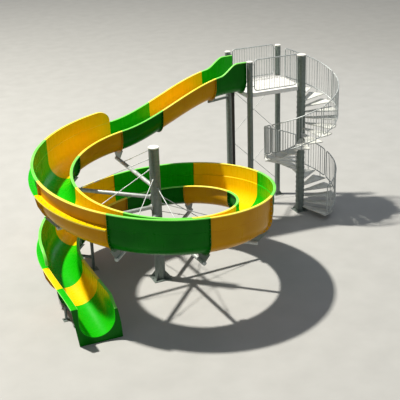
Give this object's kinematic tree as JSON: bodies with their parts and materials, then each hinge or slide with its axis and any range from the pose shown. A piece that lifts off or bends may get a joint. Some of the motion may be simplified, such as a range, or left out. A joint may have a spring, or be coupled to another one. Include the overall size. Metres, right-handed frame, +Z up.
{
  "type": "water slide tower",
  "caption": "Open spiral water slide hung from one round column, fed by a straight chute from a braced platform with a spiral stair, ending in a straight exit chute.",
  "frame": {"origin": "centre of the main column's foot, on the ground", "axes": "+Z up; +X runs from the main column to the platform tower; +Y runs to the tower's back side"},
  "size_m": [12.7456, 9.0486, 6.45],
  "materials": {
    "frp_green": "glossy gel coat, green",
    "frp_yellow": "glossy gel coat, yellow",
    "galvanised_steel": "dull grey zinc coat",
    "deck": "pale grey, matt",
    "pipe": "black pressure pipe"
  },
  "bodies": {
    "root": {"flume_section_01": "frp_green", "flume_section_02": "frp_yellow", "flume_section_03": "frp_green", "flume_section_04": "frp_yellow", "flume_section_05": "frp_green", "flume_section_06": "frp_yellow", "flume_section_07": "frp_green", "flume_section_08": "frp_yellow", "flume_section_09": "frp_green", "flume_section_10": "frp_yellow", "flume_section_11": "frp_green", "flume_section_12": "frp_yellow", "flume_section_13": "frp_green", "flume_section_14": "frp_yellow", "flume_section_15": "frp_green", "wall_panel_04": "frp_yellow", "wall_panel_05": "frp_green", "wall_panel_06": "frp_yellow", "central_column": "galvanised_steel", "support_arm_1": "galvanised_steel", "support_arm_2": "galvanised_steel", "support_arm_3": "galvanised_steel", "support_arm_4": "galvanised_steel", "support_arm_5": "galvanised_steel", "support_arm_6": "galvanised_steel", "support_arm_7": "galvanised_steel", "support_arm_8": "galvanised_steel", "support_arm_9": "galvanised_steel", "stay_rod_1": "galvanised_steel", "stay_rod_2": "galvanised_steel", "stay_rod_3": "galvanised_steel", "stay_rod_4": "galvanised_steel", "stay_rod_5": "galvanised_steel", "stay_rod_6": "galvanised_steel", "stay_rod_7": "galvanised_steel", "stay_rod_8": "galvanised_steel", "stay_rod_9": "galvanised_steel", "ground_post": "galvanised_steel", "exit_support": "galvanised_steel", "tower_post_back_left": "galvanised_steel", "tower_post_front_left": "galvanised_steel", "tower_post_back_right": "galvanised_steel", "railing_front": "galvanised_steel", "railing_back": "galvanised_steel", "cross_brace_1": "galvanised_steel", "cross_brace_2": "galvanised_steel", "cross_brace_3": "galvanised_steel", "cross_brace_4": "galvanised_steel", "entry_bracket": "galvanised_steel", "spiral_stair": "galvanised_steel", "stair_balustrade_1": "galvanised_steel", "stair_balustrade_2": "galvanised_steel", "stair_balustrade_3": "galvanised_steel", "stair_balustrade_4": "galvanised_steel", "stair_balustrade_5": "galvanised_steel", "stair_balustrade_6": "galvanised_steel", "platform": "deck", "riser_pipe": "pipe"}
  },
  "joints": []
}
